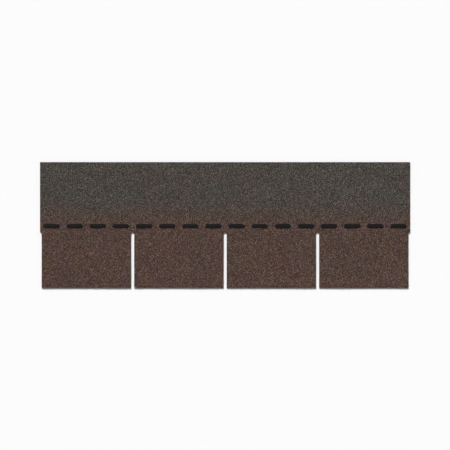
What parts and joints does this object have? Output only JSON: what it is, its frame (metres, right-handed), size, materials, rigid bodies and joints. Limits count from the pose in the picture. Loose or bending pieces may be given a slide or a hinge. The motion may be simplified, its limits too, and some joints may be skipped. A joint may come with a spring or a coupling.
{
  "type": "asphalt roof shingle strip",
  "caption": "Flat asphalt roof shingle strip with rectangular tabs split by narrow cutouts, a plain headlap and a broken line of self-seal dashes.",
  "frame": {"origin": "middle of the strip's underside: mid length, mid height, on the floor", "axes": "+X along the strip, +Y from the tabs' butt edge up the roof slope to the headlap's top edge, +Z out of the granule face"},
  "size_m": [1, 0.34, 0.0038],
  "materials": {
    "granule_sheet": "matte",
    "seal_bitumen": "satin"
  },
  "bodies": {
    "root": {"shingle_strip": "granule_sheet", "seal_dashes": "seal_bitumen"}
  },
  "joints": []
}
